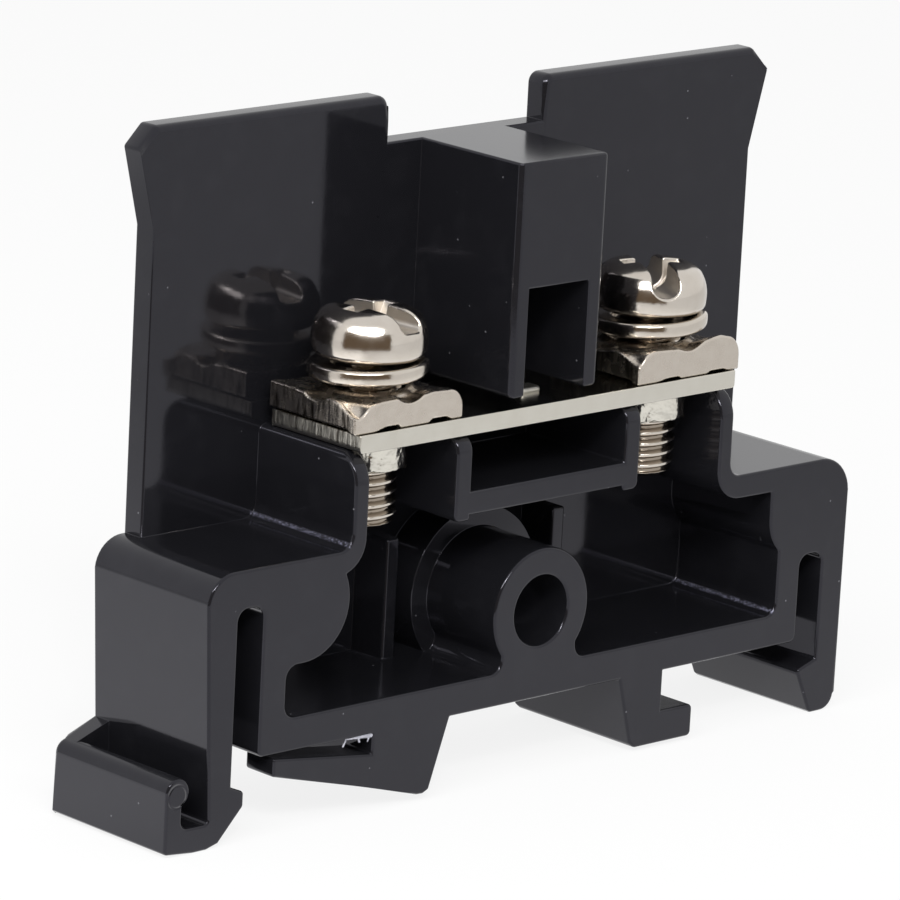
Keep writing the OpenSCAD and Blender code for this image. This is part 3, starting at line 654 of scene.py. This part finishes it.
# Square washers: blanked and pressed, with a turned up rim, a dimple in the middle of the left and
# front edges, two arches below, a sunk corner and a swollen right end
square = {"length": 6.3, "width": 5.5, "thickness": 1.2, "holeRadius": 1.65, "rimRadius": 1.95, "rimHeight": 0.14,
          "rimFillet": 0.3, "headroom": 0.56, "step": 0.06,
          # places along the edges and the plate's height there
          "frontEdge": {"left": ((-3.15, 0.82), (-2.95, 0.68), (-2.79, 0.7), (-2.57, 0.88), (-2.35, 1.1), (-2, 1.23),
                                 (-1.5, 1.29), (-0.8, 1.31), (-0.2, 1.28), (0.53, 1.28), (1, 1.31), (1.45, 1.37),
                                 (2.1, 1.33)),
                        "right": ((-3.15, 0.85), (-3, 0.9), (-2.79, 1.19), (-2.55, 1.37), (-2.1, 1.45), (-1.3, 1.4),
                                  (-0.37, 1.35), (0.07, 1.36), (0.56, 1.44), (1.06, 1.55), (1.55, 1.65), (1.93, 1.69),
                                  (2.46, 1.55))},
          "sideEdge": ((-2.1, 1.26), (-1.7, 1.28), (0.64, 1.25), (1.61, 1.31)),
          "edgeBlur": 0.12, "frontDepth": 1.5, "sideDepth": 1.3,
          "dimples": ((-2.95, -0.15), (0.1, -2.6)), "dimpleRadius": 0.75,
          "dimpleDepth": {"left": 0.24, "right": 0.16},
          # each arch: start, end and the lengths of its two slopes
          "arches": ((-2.05, -0.41, 0.9, 0.22), (1.1, 2.6, 0.35, 0.5)), "archHeight": {"left": 0.16, "right": 0.11},
          "archDepth": 1.6, "archFade": 1.2, "tilt": 0.17, "tiltStart": -2.55, "tiltFront": 0.2, "tiltFade": 0.4,
          "edgeRadius": 0.1, "endRadius": 0.75, "dimpleEdge": 0.05, "rimEdge": 0.12, "lowEdge": 0.06,
          "holeEdge": 0.08,
          "colour": "#ccc4ba", "dullColour": "#bcb3a8", "roughness": 0.18, "dullRoughness": 0.32,
          "mottleSize": 0.5, "mottleHeight": 0.012, "grainSize": 0.06, "grainHeight": 0.002,
          "streakSize": 0.25, "streakRise": 0.12, "streakHeight": 0.018, "streakColour": "#4c463f"}


# An edge's heights at close steps, with its corners blurred
def smoothEdge(places):
    at = np.arange(-4, 4, 0.02)
    spread = np.exp(-(np.arange(-15, 16) * 0.02 / square["edgeBlur"]) ** 2)
    levels = np.interp(np.arange(-4.3, 4.29, 0.02), *np.array(places).T)
    return at, np.convolve(levels, spread / spread.sum(), "valid")[:len(at)]


def squareWasher(side):
    halfX, halfY, thick = square["length"] / 2, square["width"] / 2, square["thickness"]
    front, edge = smoothEdge(square["frontEdge"][side]), smoothEdge(square["sideEdge"])
    deep = square["dimpleDepth"][side]
    ball = (square["dimpleRadius"] ** 2 + deep ** 2) / (2 * deep)

    def shape(p):
        x, y, z = p[:, 0], p[:, 1], p[:, 2]
        r = np.hypot(x, y)
        fromFront = y + halfY
        nearFront = smoothStep((square["frontDepth"] - fromFront) / square["frontDepth"])
        nearSide = smoothStep((square["sideDepth"] - x - halfX) / square["sideDepth"]) * (1 - nearFront)
        top = thick + (np.interp(x, *front) - thick) * nearFront + (np.interp(y, *edge) - thick) * nearSide
        low = 0
        for start, end, rise, fall in square["arches"]:
            low = low + square["archHeight"][side] * smoothStep((x - start) / rise) * smoothStep((end - x) / fall)
        low = low * smoothStep((square["archDepth"] - fromFront) / square["archFade"])
        lifted = smoothStep((square["tiltStart"] - x) / square["tiltFade"])
        low = low + square["tilt"] * lifted * smoothStep((fromFront - square["tiltFront"]) / square["tiltFade"])
        slab = roundCut(0.8 * (z - top), x - halfX, square["endRadius"])  # 0.8 allows for the slope of the top
        for u, v in square["dimples"]:
            hollow = ball - np.sqrt((x - u) ** 2 + (y - v) ** 2 + (z - top - ball + deep) ** 2)
            slab = roundCut(slab, hollow, square["dimpleEdge"])
        slab = roundCut(slab, np.maximum(-x - halfX, np.abs(y) - halfY), square["edgeRadius"])
        rim = roundCut(r - square["rimRadius"], z - thick - square["rimHeight"], square["rimEdge"])
        body = roundCut(roundJoin(slab, rim, square["rimFillet"]), low - z, square["lowEdge"])
        return roundCut(body, square["holeRadius"] - r, square["holeEdge"])

    high = thick + square["headroom"]
    return skin(shape, (-halfX, -halfY, 0), (halfX, halfY, high), square["step"])


washerNickel = nickelPlate("stampedNickelWasher", square)
for side in ("left", "right"):
    low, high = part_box(side + "_square_washer")
    axis = nodeCentre(side + "_screw")
    seat = np.array([axis[0], axis[1], low.z / mm])
    points, faces, normals = squareWasher(side)
    sheared = (np.abs(normals[:, 0]) > 0.8) & (points[:, 0] < -square["length"] / 2 + 0.1)
    piece = meshPiece(side + "SquareWasher", [(points + seat, faces, normals)], side + "_square_washer",
                      side + "_clamp", washerNickel, {"sheared": sheared})
    print(side, "square washer:", len(piece.data.polygons), "faces")

# Studio: a white table and surround, a softbox above the camera with a hot middle, and dark
# surroundings behind the camera
studio = {"floorSize": 3000, "floorColour": "#f4f4f4", "whiteShare": 0.85, "skyLevel": 0.5, "mirrorSky": 0.98,
          "mirrorFloor": 0.85, "nearBoost": 0.33, "nearReach": (20, 75), "leftBoost": 0.6, "leftStart": (5, 25),
          "leftReach": (50, 88), "leftWay": (-0.69, 0.72, 0),
          "boxDistance": 420, "boxSize": (505, 125), "boxTurn": 8, "boxRise": 37.5, "boxRadiance": 9,
          "hotSize": (46, 44), "hotTurn": -4, "hotRise": 38, "hotRadiance": 60,
          "clothDistance": 95, "clothTurn": (-38, 50), "clothRise": (-12, 29), "clothSteps": 12,
          "clothColour": "#6f6050"}
camera = {"place": (-197.53, -200.43, 78.61), "yaw": 43.69, "pitch": 14.27, "roll": 2.99, "lens": 266.24, "sensor": 36}
centre = np.array([0, 3.5, 8])


def rayMix(tree):
    path = addNode(tree, "LightPath", {})
    seen = addNode(tree, "Math", {"operation": "MAXIMUM"},
                   {0: path.outputs["Is Camera Ray"], 1: path.outputs["Is Glossy Ray"]})
    both = addNode(tree, "Math", {"operation": "MAXIMUM"},
                   {0: seen.outputs[0], 1: path.outputs["Is Transmission Ray"]})
    return path.outputs["Is Camera Ray"], both.outputs[0]


# How bright the table glows in the part's reflections, a painted pool of light: brightest close to its left, as in the
# photo
def paintedTableGlow(tree):
    place = addNode(tree, "NewGeometry", {}).outputs["Position"]
    away = addNode(tree, "VectorMath", {"operation": "LENGTH"}, {0: place}).outputs["Value"]
    side = addNode(tree, "VectorMath", {"operation": "DOT_PRODUCT", 1: studio["leftWay"]}, {0: place}).outputs["Value"]
    ramps = [addNode(tree, "MapRange", {"interpolation_type": "SMOOTHSTEP", "From Min": a * mm, "From Max": b * mm,
                                        "To Min": start, "To Max": end}, {"Value": source}).outputs["Result"]
             for source, (a, b), start, end in ((away, studio["nearReach"], studio["nearBoost"], 0),
                                                (side, studio["leftStart"], 0, studio["leftBoost"]),
                                                (away, studio["leftReach"], 1, 0))]
    left = addNode(tree, "Math", {"operation": "MULTIPLY"}, {0: ramps[1], 1: ramps[2]})
    near = addNode(tree, "Math", {"operation": "ADD", 1: studio["mirrorFloor"]}, {0: ramps[0]})
    return addNode(tree, "Math", {"operation": "ADD"}, {0: near.outputs[0], 1: left.outputs[0]}).outputs[0]


def whiteTable():
    material, tree, surface = newMaterial("whiteTable")
    tree.nodes.remove(surface)
    direct, seen = rayMix(tree)
    share = addNode(tree, "Math", {"operation": "MULTIPLY", 1: studio["whiteShare"]}, {0: seen})
    paper = addNode(tree, "BsdfDiffuse", {"Color": linear(studio["floorColour"])})
    level = addNode(tree, "Mix", {"data_type": "FLOAT", 3: 1}, {"Factor": direct, 2: paintedTableGlow(tree)})
    glow = addNode(tree, "Emission", {}, {"Strength": level.outputs[0]})
    mix = addNode(tree, "MixShader", {}, {0: share.outputs[0], 1: paper.outputs[0], 2: glow.outputs[0]})
    tree.links.new(mix.outputs[0], tree.nodes["Material Output"].inputs["Surface"])
    return material


def flatSheet(name, corners, faces, material):
    mesh = bpy.data.meshes.new(name)
    mesh.from_pydata([tuple(np.array(c) * mm) for c in corners], [], faces)
    mesh.materials.append(material)
    sheet = bpy.data.objects.new(name, mesh)
    bpy.context.scene.collection.objects.link(sheet)
    return sheet


half = studio["floorSize"] / 2
floorLevel = cadBox[0][2] / mm
flatSheet("table", [(-half, -half, floorLevel), (half, -half, floorLevel), (half, half, floorLevel),
                    (-half, half, floorLevel)], [(0, 1, 2, 3)], whiteTable())

world = bpy.data.worlds.new("whiteSurround")
bpy.context.scene.world = world
world.use_nodes = True
tree = world.node_tree
direct, seen = rayMix(tree)
mirrored = addNode(tree, "MapRange", {"To Min": studio["skyLevel"], "To Max": studio["mirrorSky"]}, {"Value": seen})
level = addNode(tree, "Mix", {"data_type": "FLOAT", 3: 1}, {"Factor": direct, 2: mirrored.outputs["Result"]})
tree.links.new(level.outputs[0], tree.nodes["Background"].inputs["Strength"])
tree.nodes["Background"].inputs["Color"].default_value = (1, 1, 1, 1)


# Direction from the object, turned left from the camera's own bearing and raised above the horizon
def bearing(turn, rise):
    a = math.radians(camera["yaw"] + turn)
    e = math.radians(rise)
    return np.array([-math.sin(a) * math.cos(e), -math.cos(a) * math.cos(e), math.sin(e)])


def softbox(name, turn, rise, distance, size, radiance):
    lamp = bpy.data.lights.new(name, "AREA")
    lamp.shape = "RECTANGLE"
    lamp.size, lamp.size_y = size[0] * mm, size[1] * mm
    lamp.energy = radiance * math.pi * lamp.size * lamp.size_y
    holder = bpy.data.objects.new(name, lamp)
    bpy.context.scene.collection.objects.link(holder)
    out = bearing(turn, rise)
    holder.location = (centre + out * distance) * mm
    holder.rotation_euler = Vector(out).to_track_quat("Z", "Y").to_euler()


softbox("boxAboveCamera", studio["boxTurn"], studio["boxRise"], studio["boxDistance"], studio["boxSize"],
        studio["boxRadiance"])
softbox("hotMiddle", studio["hotTurn"], studio["hotRise"], studio["boxDistance"] - 5, studio["hotSize"],
        studio["hotRadiance"])

# Dark cloth: seen only in the part's reflections
darkCloth, tree, surface = newMaterial("darkCloth")
tree.nodes.remove(surface)
dim = addNode(tree, "Emission", {"Color": linear(studio["clothColour"]), "Strength": 1})
tree.links.new(dim.outputs[0], tree.nodes["Material Output"].inputs["Surface"])
turns = np.linspace(*studio["clothTurn"], studio["clothSteps"] + 1)
corners = [centre + bearing(t, e) * studio["clothDistance"] for t in turns for e in studio["clothRise"]]
strips = [(2 * i, 2 * i + 1, 2 * i + 3, 2 * i + 2) for i in range(studio["clothSteps"])]
cloth = flatSheet("cloth", corners, strips, darkCloth)
cloth.visible_camera = cloth.visible_diffuse = cloth.visible_shadow = cloth.visible_transmission = False

lens = bpy.data.cameras.new("camera")
lens.lens, lens.sensor_width = camera["lens"], camera["sensor"]
cameraObject = bpy.data.objects.new("camera", lens)
bpy.context.scene.collection.objects.link(cameraObject)
turnZ = Matrix.Rotation(-math.radians(camera["yaw"]), 4, "Z")
turnX = Matrix.Rotation(math.radians(90 - camera["pitch"]), 4, "X")
cameraObject.matrix_world = (Matrix.Translation(Vector(camera["place"]) * mm) @ turnZ @ turnX
                             @ Matrix.Rotation(math.radians(camera["roll"]), 4, "Z"))
bpy.context.scene.camera = cameraObject
bpy.context.scene.view_settings.view_transform = "Standard"
print("studio ready")
